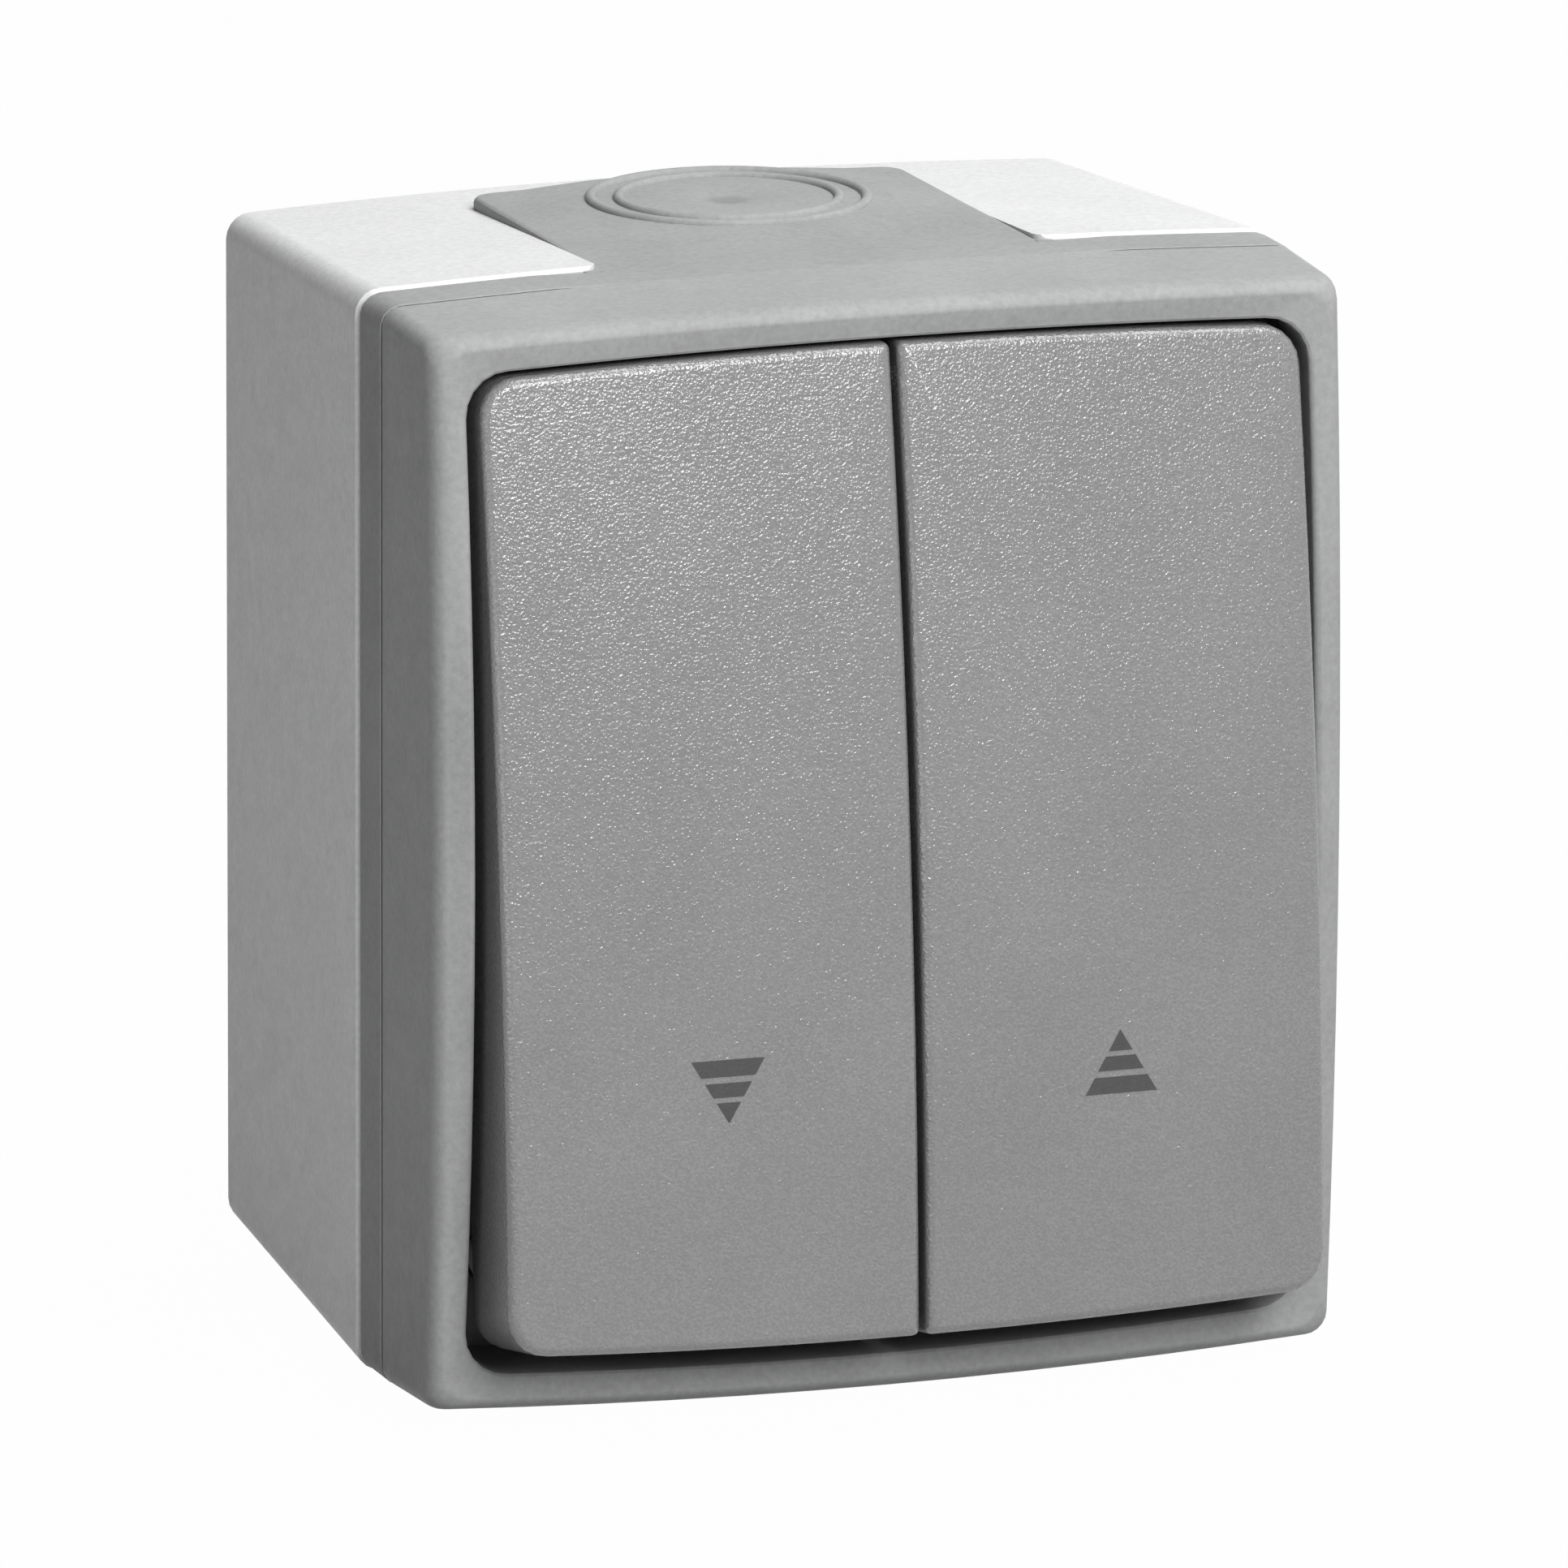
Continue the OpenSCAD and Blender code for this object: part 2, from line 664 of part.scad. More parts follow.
module rocker_shape() {
    difference() {
        union() {
            translate([rocker_x0, -rocker_hh, rocker_bottom])
                cube([rocker_x1 - rocker_x0, 2 * rocker_hh, rocker_top - rocker_bottom]);
            translate([0.15, 0, 0]) rotate([0, 90, 0]) cylinder(r = trunnion_r, h = rocker_x0 + 1);
            translate([rocker_x1 - 1, 0, 0]) rotate([0, 90, 0]) cylinder(r = trunnion_r, h = ear_x1 - rocker_x1 + 0.9);
            translate([stem_x, 0, stem_bottom]) cylinder(r = stem_r, h = 9);
        }
        translate([stem_x, 0, stem_bottom - cut]) cylinder(r = detent_bore_r, h = detent_bore_top - stem_bottom + cut);
        for (sy = [-1, 1]) translate([stem_x, sy * clip_y, 0]) {
            translate([-clip_w / 2 - seat_gap, -clip_t / 2 - seat_gap, clip_bottom - 0.4])
                cube([clip_w + 2 * seat_gap, clip_t + 2 * seat_gap, 10]);
        }
        // Hollows under the arms, as moulded
        for (sy = [-1, 1], x = [rocker_x0 + 1.2, stem_x + 3.8])
            translate([x, sy * arm_hollow_y - arm_hollow_w / 2, rocker_bottom - 1])
                cube([rocker_x1 - stem_x - 5, arm_hollow_w, arm_hollow_h + 1]);
    }
}

module left_rocker() color(mould_white) on_wall() at_pivot() on_side(true) rocker_shape();

module right_rocker() color(mould_white) on_wall() at_pivot() on_side(false) rocker_shape();

// Round-nosed pin that slides in the rocker's stem and bears on the contact lever
module plunger_shape() translate([stem_x, 0, 0]) {
    translate([0, 0, stem_bottom + 0.6]) cylinder(r = plunger_r, h = plunger_top - stem_bottom - 0.6);
    translate([0, 0, plunger_tip + plunger_tip_r]) cylinder(r = plunger_tip_r, h = stem_bottom - plunger_tip);
    translate([0, 0, plunger_tip + plunger_tip_r]) sphere(plunger_tip_r);
}

module left_plunger() color(mould_white) on_wall() at_pivot() on_side(true) plunger_shape();

module right_plunger() color(mould_white) on_wall() at_pivot() on_side(false) plunger_shape();

// Coil spring from the plunger to the end of its bore
module spring_shape() {
    steps = 10 * spring_turns;
    low = plunger_top + spring_wire / 2 + slide_gap;
    high = detent_bore_top - spring_wire / 2 - slide_gap;
    // Both ends lie flat for most of a turn
    function rise(t) = low + (high - low) * min(max((t * spring_turns - 0.8) / (spring_turns - 1.6), 0), 1);
    rings = [for (k = [0:steps]) let (t = k / steps, a = 360 * spring_turns * t, z = rise(t))
        [for (i = [0:5]) let (b = -60 * i, r = spring_r + spring_wire / 2 * cos(b))
            [r * cos(a), r * sin(a), z + spring_wire / 2 * sin(b)]]];
    translate([stem_x, 0, 0]) skin(rings);
}

module left_spring() color(steel) on_wall() at_pivot() on_side(true) spring_shape();

module right_spring() color(steel) on_wall() at_pivot() on_side(false) spring_shape();

// Places a lever over its fulcrum, tilted with the upper contact open
module at_fulcrum() {
    translate([stem_x, 0, lever_d]) rotate([lever_tilt, 0, 0]) children();
}

// Pressed strip that see-saws on the common contact, with a round groove over its edge
module lever_shape() {
    difference() {
        union() {
            translate([-lever_w / 2, -lever_hh, 0]) cube([lever_w, 2 * lever_hh, lever_t]);
            for (sx = [-1, 1]) translate([sx * (lever_w - guide_t) / 2 - guide_t / 2, -guide_l / 2, 0])
                cube([guide_t, guide_l, lever_t + guide_h]);
        }
        translate([0, tip_y, -cut]) cylinder(r = tip_shank_r + slide_gap, h = lever_t + 2 * cut);
        translate([-lever_w, 0, 0]) rotate([0, 90, 0]) cylinder(r = blade_t / 2 + slide_gap, h = 2 * lever_w);
    }
}

module left_contact_lever() color(brass) on_wall() on_side(true) at_fulcrum() lever_shape();

module right_contact_lever() color(brass) on_wall() on_side(false) at_fulcrum() lever_shape();

// Contact rivet through the end of a lever
module lever_tip_shape() translate([0, tip_y, 0]) {
    translate([0, 0, -tip_t]) cylinder(r = tip_r, h = tip_t);
    translate([0, 0, -cut]) cylinder(r = tip_shank_r, h = lever_t + cut);
    translate([0, 0, lever_t]) cylinder(r = tip_shank_r + 0.4, h = 0.4);
}

module left_contact_tip() color(silver) on_wall() on_side(true) at_fulcrum() lever_tip_shape();

module right_contact_tip() color(silver) on_wall() on_side(false) at_fulcrum() lever_tip_shape();

module fixed_contact_tips() color(silver) on_wall() for (sx = [-1, 1]) translate([sx * stem_x, tip_y, 0]) {
    translate([0, 0, fixed_tip_d - tip_t]) cylinder(r = tip_r + 0.2, h = tip_t);
    translate([0, 0, fixed_tip_d - tip_t - strip_t]) cylinder(r = tip_shank_r, h = strip_t + cut);
}

// Terminal block with a wire hole from the back and a clamping screw from above
module terminal_block() {
    difference() {
        translate([-terminal_w / 2, terminal_y0, terminal_back])
            cube([terminal_w, terminal_y1 - terminal_y0, terminal_front - terminal_back]);
        translate([0, wire_y, terminal_back - cut]) cylinder(r = wire_r, h = wire_depth + cut);
        translate([0, wire_y, terminal_screw_d]) rotate([-90, 0, 0]) cylinder(r = screw_hole_r, h = 10);
    }
}

module fixed_contact() {
    tongue_top = fixed_tip_d - tip_t;
    tongue_y = tip_y - strip_w / 2;
    difference() {
        union() {
            translate([-strip_w / 2, tongue_y, tongue_top - strip_t])
                cube([strip_w, leg_y + strip_back_t - tongue_y, strip_t]);
            translate([-strip_w / 2, leg_y, terminal_back]) cube([strip_w, strip_back_t, tongue_top - terminal_back]);
            translate([-strip_w / 2, leg_y, terminal_back]) cube([strip_w, terminal_y0 - leg_y + cut, strip_back_t]);
        }
        translate([0, tip_y, tongue_top - strip_t - cut]) cylinder(r = tip_shank_r + slide_gap, h = strip_t + 2 * cut);
    }
    terminal_block();
}

module down_contact() color(brass) on_wall() translate([-stem_x, 0, 0]) fixed_contact();

module up_contact() color(brass) on_wall() translate([stem_x, 0, 0]) fixed_contact();

// Blade with a round edge that both levers see-saw on, with its own terminal below
module common_contact() color(brass) on_wall() {
    translate([-blade_hl, -blade_t / 2, terminal_back]) cube([2 * blade_hl, blade_t, lever_d - terminal_back]);
    translate([-blade_hl, 0, lever_d]) rotate([0, 90, 0]) cylinder(r = blade_t / 2, h = 2 * blade_hl);
    translate([-strip_w / 2, -terminal_y0 - cut, terminal_back])
        cube([strip_w, terminal_y0 + cut + blade_t / 2, strip_back_t]);
    mirror([0, 1, 0]) terminal_block();
}

// Spaces in the insert for one contact's leg, strip and terminal block
module contact_space(y) {
    translate([-strip_w / 2 - seat_gap, y - seat_gap, insert_back - cut])
        cube([strip_w + 2 * seat_gap, strip_back_t + 2 * seat_gap, well_floor - insert_back + 2 * cut]);
    translate([-strip_w / 2 - seat_gap, y - seat_gap, insert_back - cut])
        cube([strip_w + 2 * seat_gap, terminal_y0 - y + seat_gap,
              terminal_back + strip_back_t + seat_gap - insert_back + cut]);
    translate([-terminal_w / 2 - seat_gap, terminal_y0 - seat_gap, insert_back - cut])
        cube([terminal_w + 2 * seat_gap, terminal_y1 - terminal_y0 + 2 * seat_gap,
              terminal_front - insert_back + seat_gap + cut]);
    translate([0, wire_y, terminal_screw_d]) rotate([-90, 0, 0]) cylinder(r = screw_hole_r + 0.1, h = 10);
}

module insert_base() color(mould_white) on_wall() {
    difference() {
        union() {
            translate([-insert_w / 2, -insert_h / 2, insert_back]) cube([insert_w, insert_h, insert_top - insert_back]);
            translate([-insert_w / 2 - insert_lip, -insert_h / 2 - insert_lip, plate_d + plate_t])
                cube([insert_w + 2 * insert_lip, insert_h + 2 * insert_lip, insert_top - plate_d - plate_t]);
            for (x = [-ear_x1, -centre_ear_t / 2, ear_x0]) ear(x, x == -centre_ear_t / 2 ? centre_ear_t : ear_t);
        }
        for (s = [-1, 1]) translate([min(s * well_x0, s * well_x1), -well_hh, well_floor])
            cube([well_x1 - well_x0, 2 * well_hh, insert_top]);
        // Slot that the common blade is pushed into from the back
        translate([-blade_hl - seat_gap, -blade_t / 2 - seat_gap, insert_back - cut])
            cube([2 * (blade_hl + seat_gap), blade_t + 2 * seat_gap, lever_d + blade_t / 2 + seat_gap + cut - insert_back]);
        for (sx = [-1, 1]) translate([sx * stem_x, 0, 0]) contact_space(leg_y);
        mirror([0, 1, 0]) contact_space(-blade_t / 2);
        translate([-ear_x1 - 1, 0, pivot_d]) rotate([0, 90, 0]) cylinder(r = trunnion_r + running_fit, h = 2 * ear_x1 + 2);
    }
}

// Bearing ear for the rockers' trunnions, from x to x + t
module ear(x, t) {
    translate([x, 0, pivot_d]) rotate([0, 90, 0]) cylinder(r = ear_r, h = t);
    translate([x, -ear_r, insert_top - 1]) cube([t, 2 * ear_r, pivot_d - insert_top + 1]);
}

module mounting_plate() color(steel) on_wall() {
    corner = 2;
    difference() {
        union() {
            translate([-plate_w / 2 + corner, -plate_h / 2, plate_d]) cube([plate_w - 2 * corner, plate_h, plate_t]);
            translate([-plate_w / 2, -plate_h / 2 + corner, plate_d]) cube([plate_w, plate_h - 2 * corner, plate_t]);
            for (sx = [-1, 1], sy = [-1, 1])
                translate([sx * (plate_w / 2 - corner), sy * (plate_h / 2 - corner), plate_d]) cylinder(r = corner, h = plate_t);
        }
        translate([-insert_w / 2 - seat_gap, -insert_h / 2 - seat_gap, plate_d - cut])
            cube([insert_w + 2 * seat_gap, insert_h + 2 * seat_gap, plate_t + 2 * cut]);
        at_insert_screws() translate([0, 0, plate_d - cut]) cylinder(r = screw_hole_r + 0.2, h = plate_t + 2 * cut);
    }
}

module insert_screws() color(steel) on_wall() at_insert_screws() pan_screw(plate_d + plate_t, screw_depth + 2);

module frame_screws() color(steel) on_wall() at_frame_screws() pan_screw(flange_top - head_sink, screw_depth + 2);

// Clamping screw of a terminal, its head outside the insert
module terminal_screw() translate([0, wire_y + wire_r + 0.2, terminal_screw_d]) rotate([-90, 0, 0]) {
    shank = insert_h / 2 + 0.2 - wire_y - wire_r;
    difference() {
        union() {
            cylinder(r = screw_r, h = shank + cut);
            translate([0, 0, shank]) cylinder(r = terminal_head_r, h = terminal_head_h);
        }
        translate([-terminal_head_r - cut, -0.3, shank + terminal_head_h - 0.6])
            cube([2 * (terminal_head_r + cut), 0.6, 0.6 + cut]);
    }
}

module terminal_screws() color(steel) on_wall() {
    for (sx = [-1, 1]) translate([sx * stem_x, 0, 0]) terminal_screw();
    mirror([0, 1, 0]) terminal_screw();
}

back_box();
seal();
front_frame();
left_key();
right_key();
left_rocker();
right_rocker();
left_plunger();
right_plunger();
left_spring();
right_spring();
left_contact_lever();
right_contact_lever();
left_contact_tip();
right_contact_tip();
fixed_contact_tips();
common_contact();
down_contact();
up_contact();
insert_base();
mounting_plate();
insert_screws();
frame_screws();
terminal_screws();
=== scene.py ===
"""Looks of a surface-mounted roller shutter switch: moulded box, soft seal, domed frame and two keys."""
import json
import math

import bmesh
import bpy
from mathutils import Matrix, Vector

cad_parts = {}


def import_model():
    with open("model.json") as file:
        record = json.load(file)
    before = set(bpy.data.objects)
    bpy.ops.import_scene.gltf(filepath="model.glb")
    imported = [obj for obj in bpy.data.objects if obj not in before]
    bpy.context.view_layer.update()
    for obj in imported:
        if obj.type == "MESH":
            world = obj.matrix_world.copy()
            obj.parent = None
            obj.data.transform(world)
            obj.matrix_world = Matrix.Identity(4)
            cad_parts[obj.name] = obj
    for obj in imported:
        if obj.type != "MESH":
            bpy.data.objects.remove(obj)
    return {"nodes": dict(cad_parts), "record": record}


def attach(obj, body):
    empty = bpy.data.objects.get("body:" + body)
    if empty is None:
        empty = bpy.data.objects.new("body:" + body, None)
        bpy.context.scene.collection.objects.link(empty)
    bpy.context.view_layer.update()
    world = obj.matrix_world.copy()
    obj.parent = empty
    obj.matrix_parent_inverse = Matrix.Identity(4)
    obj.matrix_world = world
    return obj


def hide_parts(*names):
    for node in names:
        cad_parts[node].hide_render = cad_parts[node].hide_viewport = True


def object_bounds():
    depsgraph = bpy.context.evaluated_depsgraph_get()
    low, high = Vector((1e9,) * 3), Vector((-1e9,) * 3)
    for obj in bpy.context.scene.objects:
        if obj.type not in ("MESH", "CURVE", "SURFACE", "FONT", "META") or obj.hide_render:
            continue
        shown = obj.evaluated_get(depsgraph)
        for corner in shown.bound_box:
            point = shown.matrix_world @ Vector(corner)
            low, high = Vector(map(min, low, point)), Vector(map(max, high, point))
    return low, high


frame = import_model()
cad_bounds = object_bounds()

MM = 0.001

# Camera: where it stands, which way it looks and which way is up, fitted to the photograph's perspective
CAMERA_AT = Vector((-456.42, -1317.53, 324.34)) * MM
CAMERA_LOOKS = Vector((0.32469, 0.91717, -0.23104))
CAMERA_UP = Vector((0.07331, 0.21914, 0.97294))
SENSOR = 36.0
FOCAL = 474.96

# Keys, in millimetres about their tilting axis
PIVOT_DEPTH = 40.55
KEY_TILT = 6.0
KEYS_HALF_W = 29.05
KEY_HALF_H = 32.75
KEY_REACH = 12.5
KEY_BULGE_V = 1.33
KEY_BULGE_H = 0.6
SKIRT_DEPTH = 8.2
SKIRT_SPREAD = 0.8

# Band of the seal, in millimetres: the depths it lies between, its outline, and how much it is widened
BAND_REAR = 34.9
BAND_FRONT = 39.6
BAND_HALF_W = 32.43
BAND_HALF_H = 37.0
BAND_CROWN = 0.78
BAND_CORNER = 1.8
BAND_PUSH = 0.14
BAND_CORNER_PUSH = 0.16
PANEL_HALF = 17.0
# Painted shade along the hairline gap between the band and the frame: the gap's depth, and the half width and tone of
# the dark line
SEAM_DEPTH = 39.45
SEAM_HALF = 0.07
SEAM_SHADE_TONE = 0.1
# Painted shade at the middle of each membrane, where its dimple is: the axis's depth, and the radii and tones the
# darkening fades between
MEMBRANE_DEPTH = 16.5
DIMPLE_SHADE_FADE = (0.6 * MM, 1.9 * MM, 0.76, 1.0)
# Materials that carry the painted seam shade
SEAM_SHADED = ("seal_rubber", "frame_plastic")

# Printed arrows: the base's middle, and three bars measured from it, in millimetres on the key's front
ARROW_W = 5.15
ARROW_BARS = ((0.0, 1.14), (1.57, 2.54), (2.9, 4.32))
ARROW_BASE = {"left": (-13.68, -13.6), "right": (14.2, -18.05)}
INK = 0.02


# Materials

def new_material(name):
    """An empty node material: its node tree, its shader and its object coordinates."""
    mat = bpy.data.materials.new(name)
    mat.use_nodes = True
    tree = mat.node_tree
    shader = tree.nodes["Principled BSDF"]
    coords = tree.nodes.new("ShaderNodeTexCoord").outputs["Object"]
    return mat, tree, shader, coords


def noise(tree, coords, size_mm, detail=2.0, roughness=0.5, stretch=None):
    """Noise with features of about size_mm, as its Fac output."""
    if stretch:
        mapping = tree.nodes.new("ShaderNodeMapping")
        mapping.inputs["Scale"].default_value = stretch
        tree.links.new(coords, mapping.inputs["Vector"])
        coords = mapping.outputs["Vector"]
    node = tree.nodes.new("ShaderNodeTexNoise")
    node.inputs["Scale"].default_value = 1.0 / (size_mm * MM)
    node.inputs["Detail"].default_value = detail
    node.inputs["Roughness"].default_value = roughness
    tree.links.new(coords, node.inputs["Vector"])
    return node.outputs["Fac"]


def cells(tree, coords, size_mm, output="Distance"):
    """Voronoi cells of about size_mm."""
    node = tree.nodes.new("ShaderNodeTexVoronoi")
    node.inputs["Scale"].default_value = 1.0 / (size_mm * MM)
    tree.links.new(coords, node.inputs["Vector"])
    return node.outputs[output]


def ramp(tree, fac, stops):
    """Colour ramp over fac: stops are (position, grey or colour)."""
    node = tree.nodes.new("ShaderNodeValToRGB")
    elements = node.color_ramp.elements
    while len(elements) < len(stops):
        elements.new(0.5)
    for element, (position, colour) in zip(elements, stops):
        element.position = position
        element.color = (*grey(colour), 1.0)
    tree.links.new(fac, node.inputs["Fac"])
    return node.outputs["Color"]


def grey(value):
    return tuple(value) if isinstance(value, (tuple, list)) else (value, value, value)


def mix(tree, fac, a, b, blend="MIX"):
    """Mix of two colours or outputs."""
    node = tree.nodes.new("ShaderNodeMix")
    node.data_type = "RGBA"
    node.blend_type = blend
    for socket, value in (("Factor", fac), ("A", a), ("B", b)):
        target = [s for s in node.inputs if s.name == socket and s.type in (("VALUE",) if socket == "Factor" else ("RGBA",))][0]
        if isinstance(value, bpy.types.NodeSocket):
            tree.links.new(value, target)
        else:
            target.default_value = value if socket == "Factor" else (*grey(value), 1.0)
    return [s for s in node.outputs if s.type == "RGBA"][0]


def bump(tree, shader, layers):
    """Bump from (height, depth in mm) layers, one on another."""
    normal = None
    for height, depth_mm in layers:
        node = tree.nodes.new("ShaderNodeBump")
        node.inputs["Strength"].default_value = 1.0
        node.inputs["Distance"].default_value = depth_mm * MM
        tree.links.new(height, node.inputs["Height"])
        if normal:
            tree.links.new(normal, node.inputs["Normal"])
        normal = node.outputs["Normal"]
    tree.links.new(normal, shader.inputs["Normal"])


def seam_shade_line(tree, coords):
    """Share of painted shade along the hairline gap between the band and the frame: 0 away from it."""
    split = tree.nodes.new("ShaderNodeSeparateXYZ")
    tree.links.new(coords, split.inputs[0])
    line = tree.nodes.new("ShaderNodeMath")
    line.operation = "COMPARE"
    tree.links.new(split.outputs["Y"], line.inputs[0])
    line.inputs[1].default_value = -SEAM_DEPTH * MM
    line.inputs[2].default_value = SEAM_HALF * MM
    return line.outputs[0]


def dimple_shade(tree, coords):
    """Painted shade round the membranes' axis, where the dimple is: 1 away from it and darker towards the middle."""
    flat = tree.nodes.new("ShaderNodeVectorMath")
    flat.operation = "MULTIPLY_ADD"
    tree.links.new(coords, flat.inputs[0])
    flat.inputs[1].default_value = (1.0, 1.0, 0.0)
    flat.inputs[2].default_value = (0.0, MEMBRANE_DEPTH * MM, 0.0)
    far = tree.nodes.new("ShaderNodeVectorMath")
    far.operation = "LENGTH"
    tree.links.new(flat.outputs["Vector"], far.inputs[0])
    tone = tree.nodes.new("ShaderNodeMapRange")
    tone.interpolation_type = "SMOOTHSTEP"
    tree.links.new(far.outputs["Value"], tone.inputs["Value"])
    for socket, value in zip(("From Min", "From Max", "To Min", "To Max"), DIMPLE_SHADE_FADE):
        tone.inputs[socket].default_value = value
    return tone.outputs["Result"]


def moulded(name, tone, roughness, grain_mm, grain_depth, mottle=0.05, specular=0.5):
    """Moulded plastic or rubber: fine spark-eroded grain, faint mottling and an uneven sheen, with painted shade along
    the band-to-frame gap on the seal and frame, and round the membranes' dimples on the seal.
    """
    mat, tree, shader, coords = new_material(name)
    blotch = noise(tree, coords, 9.0, 3.0)
    low, high = [tuple(c * (1 + s * mottle) for c in grey(tone)) for s in (-1, 1)]
    colour = ramp(tree, blotch, [(0.3, low), (0.7, high)])
    speck = ramp(tree, noise(tree, coords, 0.5, 3.0, 0.6), [(0.3, 0.92), (0.7, 1.08)])
    colour = mix(tree, 1.0, colour, speck, "MULTIPLY")
    # Painted shade: the seal darkens round each membrane's dimple
    if name == "seal_rubber":
        colour = mix(tree, 1.0, colour, dimple_shade(tree, coords), "MULTIPLY")
    # Painted shade: a dark line where the gap between the band and the frame lies in shadow
    if name in SEAM_SHADED:
        colour = mix(tree, seam_shade_line(tree, coords), colour, grey(SEAM_SHADE_TONE))
    tree.links.new(colour, shader.inputs["Base Color"])
    sheen = ramp(tree, noise(tree, coords, 1.4, 2.0), [(0.3, roughness - 0.04), (0.7, roughness + 0.05)])
    tree.links.new(sheen, shader.inputs["Roughness"])
    shader.inputs["Specular IOR Level"].default_value = specular
    grain = noise(tree, coords, grain_mm, 2.0, 0.6)
    bump(tree, shader, [(noise(tree, coords, 6.0, 1.0), 0.02), (grain, grain_depth)])
    return mat


def key_lacquer(name, tone):
    """Silver-grey lacquer over a coarse eroded texture, with small glints."""
    mat, tree, shader, coords = new_material(name)
    blotch = noise(tree, coords, 14.0, 2.0)
    flake = cells(tree, coords, 0.16, "Color")
    base = ramp(tree, blotch, [(0.3, tone * 0.96), (0.7, tone * 1.04)])
    glint = ramp(tree, flake, [(0.35, 0.93), (0.75, 1.08)])
    tree.links.new(mix(tree, 1.0, base, glint, "MULTIPLY"), shader.inputs["Base Color"])
    shader.inputs["Metallic"].default_value = 0.12
    shader.inputs["Specular IOR Level"].default_value = 0.6
    sheen = ramp(tree, noise(tree, coords, 0.3, 2.0), [(0.3, 0.13), (0.7, 0.2)])
    tree.links.new(sheen, shader.inputs["Roughness"])
    erosion = noise(tree, coords, 0.2, 1.0, 0.5)
    bump(tree, shader, [(erosion, 0.055)])
    return mat


def metal(name, tone, roughness, brush=(1.0, 1.0, 1.0)):
    """Plated or rolled metal with fine scratches along one direction."""
    mat, tree, shader, coords = new_material(name)
    shader.inputs["Metallic"].default_value = 1.0
    dark, light = [tuple(c * s for c in grey(tone)) for s in (0.88, 1.06)]
    tree.links.new(ramp(tree, noise(tree, coords, 2.5, 3.0), [(0.3, dark), (0.7, light)]), shader.inputs["Base Color"])
    scratch = noise(tree, coords, 0.2, 3.0, 0.6, stretch=brush)
    tree.links.new(ramp(tree, scratch, [(0.3, roughness - 0.06), (0.7, roughness + 0.08)]), shader.inputs["Roughness"])
    bump(tree, shader, [(scratch, 0.004)])
    return mat


MATERIALS = {
    "box_plastic": moulded("box_plastic", (0.74, 0.742, 0.745), 0.5, 0.22, 0.02, 0.02, 0.4),
    "seal_rubber": moulded("seal_rubber", (0.36, 0.362, 0.365), 0.5, 0.25, 0.02, 0.06, 0.05),
    "frame_plastic": moulded("frame_plastic", (0.37, 0.372, 0.375), 0.5, 0.2, 0.02, 0.05, 0.1),
    "key_finish": key_lacquer("key_finish", 0.245),
    "mould_white": moulded("mould_white", (0.76, 0.75, 0.71), 0.4, 0.3, 0.006),
    "spring_steel": metal("spring_steel", (0.6, 0.6, 0.62), 0.28),
    "contact_brass": metal("contact_brass", (0.72, 0.54, 0.27), 0.3, (1.0, 0.1, 1.0)),
    "contact_silver": metal("contact_silver", (0.82, 0.82, 0.81), 0.25),
    "plated_steel": metal("plated_steel", (0.4, 0.41, 0.43), 0.45, (0.1, 1.0, 1.0)),
}


# Meshes

def finish_mesh(obj, slot, crease=32.0):
    """Material, and smooth shading up to the crease angle, on a welded mesh."""
    obj.data.materials.clear()
    obj.data.materials.append(MATERIALS[slot])
    obj.data.shade_smooth()
    obj.data.set_sharp_from_angle(angle=math.radians(crease))
    even = obj.modifiers.new("even_normals", "WEIGHTED_NORMAL")
    even.mode = "FACE_AREA"
    even.weight = 70
    even.keep_sharp = True


def slot_of(node):
    return next(s["material_slot"] for s in frame["record"]["subparts"] if s["node"] == node)


def body_of(node):
    return next(b for b, members in frame["record"]["behaviour"]["bodies"].items() if node in members)


def smooth(value, low, high):
    """0 below low, 1 above high and a smooth step between them."""
    t = min(1.0, max(0.0, (value - low) / (high - low)))
    return t * t * (3 - 2 * t)


def spread_skirt(mesh):
    """Lets the two ends of a key's skirt spread a little towards the wall, as a drafted moulding does."""
    turn = Matrix.Rotation(math.radians(KEY_TILT), 3, "X")
    for vert in mesh.verts:
        on_key = turn @ Vector((vert.co.x, vert.co.z, -vert.co.y - PIVOT_DEPTH * MM)) / MM
        behind = smooth(key_front(on_key.x, on_key.y) - 1.0 - on_key.z, 0.0, SKIRT_DEPTH * 1.6)
        near_end = smooth(abs(on_key.y), KEY_HALF_H - 6.0, KEY_HALF_H - 1.0)
        push = math.copysign(SKIRT_SPREAD * min(1.0, behind * 2.0) * near_end, on_key.y)
        vert.co = from_key(on_key.x, on_key.y + push, on_key.z)


def fuller_band(mesh):
    """Widens the seal's band a little, most at its corners, so that less of the box's rim shows behind it."""
    for vert in mesh.verts:
        depth = -vert.co.y / MM
        if not BAND_REAR < depth < BAND_FRONT:
            continue
        x, z = abs(vert.co.x) / MM, abs(vert.co.z) / MM
        across = x - (BAND_HALF_W - BAND_CORNER)
        along = z - (BAND_HALF_H + BAND_CROWN * (1 - (x / BAND_HALF_W) ** 2) - BAND_CORNER)
        if max(across, along) < 0:
            continue
        turn = math.atan2(max(along, 0.0), max(across, 0.0))
        clear_of_panel = smooth(x, PANEL_HALF, PANEL_HALF + 3.0)
        push = BAND_PUSH * (clear_of_panel if along > across else 1.0) + BAND_CORNER_PUSH * math.sin(2 * turn) ** 2
        vert.co.x += math.copysign(push * math.cos(turn), vert.co.x) * MM
        vert.co.z += math.copysign(push * math.sin(turn), vert.co.z) * MM


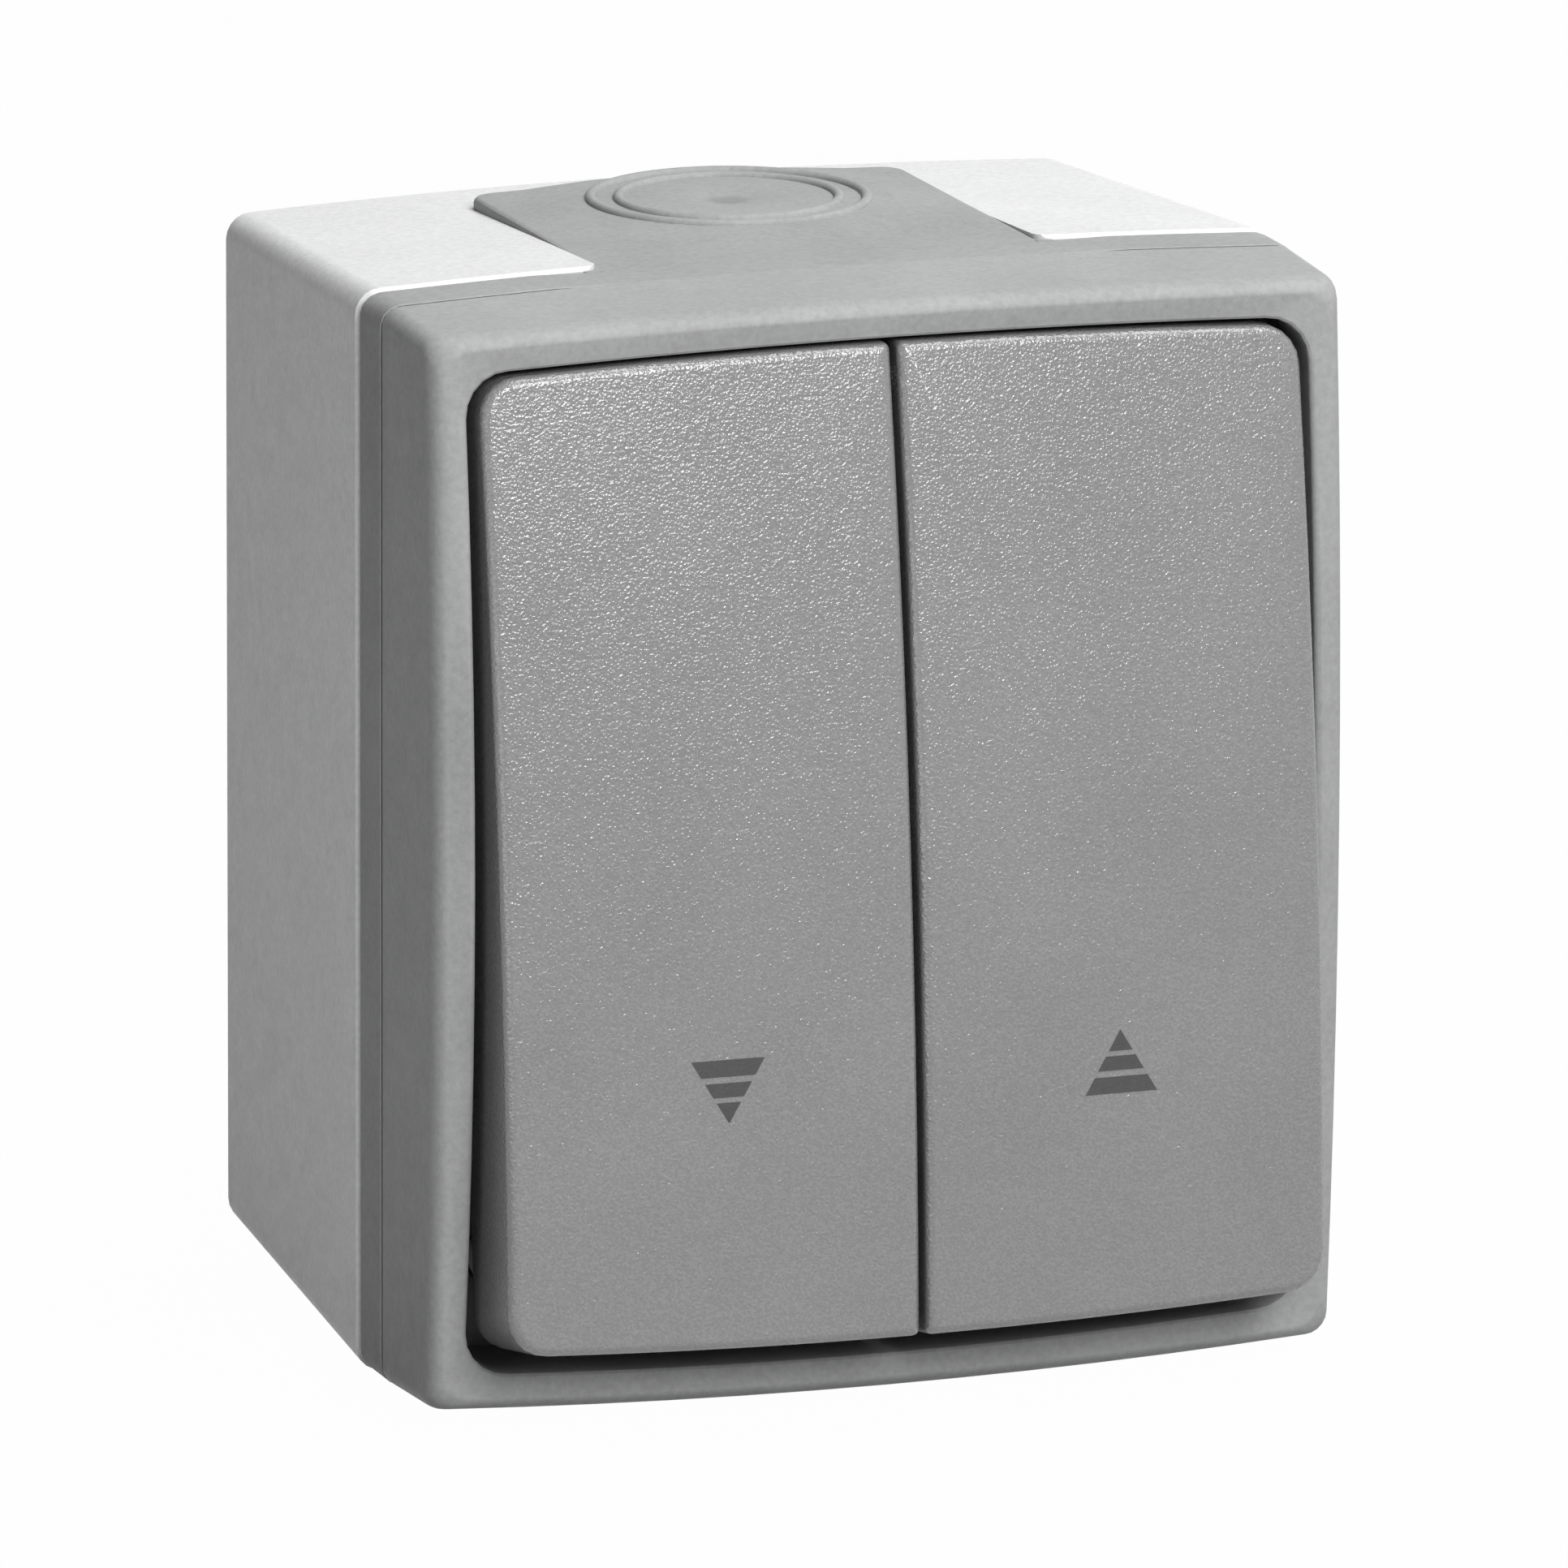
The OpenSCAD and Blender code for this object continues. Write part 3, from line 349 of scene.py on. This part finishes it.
def welded(node):
    """A copy of a CAD node with its faces joined, so that curved surfaces shade smoothly."""
    mesh = bmesh.new()
    mesh.from_mesh(frame["nodes"][node].data)
    bmesh.ops.remove_doubles(mesh, verts=mesh.verts, dist=1e-6)
    bmesh.ops.dissolve_degenerate(mesh, edges=mesh.edges, dist=1e-6)
    if node in ("left_key", "right_key"):
        spread_skirt(mesh)
    if node == "seal":
        fuller_band(mesh)
    data = bpy.data.meshes.new(node + "_skin")
    mesh.to_mesh(data)
    mesh.free()
    if "custom_normal" in data.attributes:
        data.attributes.remove(data.attributes["custom_normal"])
    obj = bpy.data.objects.new(node + "_skin", data)
    bpy.context.scene.collection.objects.link(obj)
    finish_mesh(obj, slot_of(node))
    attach(obj, body_of(node))
    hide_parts(node)
    return obj


def key_front(x, y):
    """Height of a key's front above the tilting axis, in millimetres."""
    return (KEY_REACH + KEY_BULGE_V * (1 - (y / KEY_HALF_H) ** 2)
            + KEY_BULGE_H * (1 - (x / KEYS_HALF_W) ** 2))


def from_key(x, y, z):
    """A point given on a key, in millimetres, as a point of the frame at rest."""
    turned = Matrix.Rotation(math.radians(-KEY_TILT), 3, "X") @ Vector((x, y, z))
    return Vector((turned.x, -(turned.z + PIVOT_DEPTH), turned.y)) * MM


def arrow(side, points_up):
    """Printed arrow of three bars that follow the key's domed front."""
    mesh = bmesh.new()
    columns = 12
    height = ARROW_BARS[-1][1]
    base_x, base_y = ARROW_BASE[side]
    for low, high in ARROW_BARS:
        rows = []
        for step in range(5):
            along = low + (high - low) * step / 4
            y = base_y + (along if points_up else -along)
            xs = [base_x + ARROW_W * (1 - along / height) * (c / columns - 0.5) for c in range(columns + 1)]
            rows.append([[mesh.verts.new(from_key(x, y, key_front(x, y) + lift)) for x in xs] for lift in (-INK, INK)])
        for above, below in zip(rows, rows[1:]):
            for c in range(columns):
                mesh.faces.new((above[1][c], below[1][c], below[1][c + 1], above[1][c + 1]))
                mesh.faces.new((above[0][c], above[0][c + 1], below[0][c + 1], below[0][c]))
            for c in (0, columns):
                mesh.faces.new((above[0][c], below[0][c], below[1][c], above[1][c]))
        for row in (rows[0], rows[-1]):
            for c in range(columns):
                mesh.faces.new((row[0][c], row[1][c], row[1][c + 1], row[0][c + 1]))
    bmesh.ops.remove_doubles(mesh, verts=mesh.verts, dist=1e-7)
    bmesh.ops.dissolve_degenerate(mesh, edges=mesh.edges, dist=1e-7)
    bmesh.ops.recalc_face_normals(mesh, faces=mesh.faces)
    data = bpy.data.meshes.new(side + "_arrow")
    mesh.to_mesh(data)
    mesh.free()
    obj = bpy.data.objects.new(side + "_arrow", data)
    bpy.context.scene.collection.objects.link(obj)
    finish_mesh(obj, "ink")
    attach(obj, side + "_rocker_unit")
    return obj


MATERIALS["ink"] = moulded("arrow_ink", (0.07, 0.07, 0.072), 0.5, 0.16, 0.03, 0.06, 0.3)

for node_name in frame["nodes"]:
    welded(node_name)
arrow("left", points_up=False)
arrow("right", points_up=True)


# Floor, lights and camera

def seen_rays(tree):
    """1 for rays that show the surroundings: straight to the camera, in a reflection or through glass."""
    path = tree.nodes.new("ShaderNodeLightPath")
    seen = path.outputs["Is Camera Ray"]
    for kind in ("Is Glossy Ray", "Is Transmission Ray"):
        either = tree.nodes.new("ShaderNodeMath")
        either.operation = "MAXIMUM"
        tree.links.new(seen, either.inputs[0])
        tree.links.new(path.outputs[kind], either.inputs[1])
        seen = either.outputs[0]
    return seen


def white_for_camera(mat, share):
    """Makes a stage material read as white to the camera, in the given share, and keep its shadow in the rest."""
    tree = mat.node_tree
    shader = tree.nodes["Principled BSDF"]
    out = tree.nodes["Material Output"]
    glow = tree.nodes.new("ShaderNodeEmission")
    glow.inputs["Strength"].default_value = 1.0
    scaled = tree.nodes.new("ShaderNodeMath")
    scaled.operation = "MULTIPLY"
    scaled.inputs[1].default_value = share
    blend = tree.nodes.new("ShaderNodeMixShader")
    tree.links.new(seen_rays(tree), scaled.inputs[0])
    tree.links.new(scaled.outputs[0], blend.inputs["Fac"])
    tree.links.new(shader.outputs[0], blend.inputs[1])
    tree.links.new(glow.outputs[0], blend.inputs[2])
    tree.links.new(blend.outputs[0], out.inputs["Surface"])


def floor():
    """Pale floor that the switch stands on."""
    size = 6.0
    mesh = bmesh.new()
    bmesh.ops.create_grid(mesh, x_segments=1, y_segments=1, size=size)
    bmesh.ops.translate(mesh, verts=mesh.verts, vec=(0, 0, cad_bounds[0].z - 0.0002))
    data = bpy.data.meshes.new("floor")
    mesh.to_mesh(data)
    mesh.free()
    obj = bpy.data.objects.new("floor", data)
    bpy.context.scene.collection.objects.link(obj)
    mat, tree, shader, coords = new_material("floor")
    shader.inputs["Base Color"].default_value = (0.3, 0.3, 0.3, 1.0)
    shader.inputs["Roughness"].default_value = 0.9
    white_for_camera(mat, 0.985)
    data.materials.append(mat)


def world(strength):
    """Even white surroundings that also show as the background."""
    surroundings = bpy.data.worlds.new("surroundings")
    bpy.context.scene.world = surroundings
    surroundings.use_nodes = True
    tree = surroundings.node_tree
    back = tree.nodes["Background"]
    level = tree.nodes.new("ShaderNodeMapRange")
    level.inputs["To Min"].default_value = strength
    level.inputs["To Max"].default_value = 1.0
    tree.links.new(seen_rays(tree), level.inputs["Value"])
    tree.links.new(level.outputs["Result"], back.inputs["Strength"])
    back.inputs["Color"].default_value = (1.0, 1.0, 1.0, 1.0)


def softbox(name, direction, distance, size, watts):
    """Square area light that looks at the switch from a direction."""
    light = bpy.data.lights.new(name, "AREA")
    light.shape = "RECTANGLE"
    light.size, light.size_y = size
    light.energy = watts
    obj = bpy.data.objects.new(name, light)
    bpy.context.scene.collection.objects.link(obj)
    aim = Vector((0.0, -0.03, 0.0))
    obj.location = aim + Vector(direction).normalized() * distance
    obj.rotation_euler = (aim - obj.location).to_track_quat("-Z", "Y").to_euler()


def camera():
    """The photograph's camera."""
    data = bpy.data.cameras.new("camera")
    data.sensor_width = SENSOR
    data.lens = FOCAL
    data.clip_start = 0.01
    data.clip_end = 50.0
    obj = bpy.data.objects.new("camera", data)
    bpy.context.scene.collection.objects.link(obj)
    back = -CAMERA_LOOKS.normalized()
    right = CAMERA_UP.cross(back).normalized()
    turn = Matrix((right, back.cross(right), back)).transposed()
    obj.matrix_world = Matrix.Translation(CAMERA_AT) @ turn.to_4x4()
    bpy.context.scene.camera = obj


floor()
world(0.05)
softbox("top_light", (0.42, -0.12, 1.0), 0.9, (0.6, 0.6), 6.6)
softbox("front_light", (0.08, -0.86, 0.5), 1.1, (0.5, 0.45), 9.4)
softbox("low_fill", (-0.75, -0.55, 0.02), 0.2, (0.12, 0.05), 0.035)
camera()

bpy.context.scene.view_settings.view_transform = "Standard"
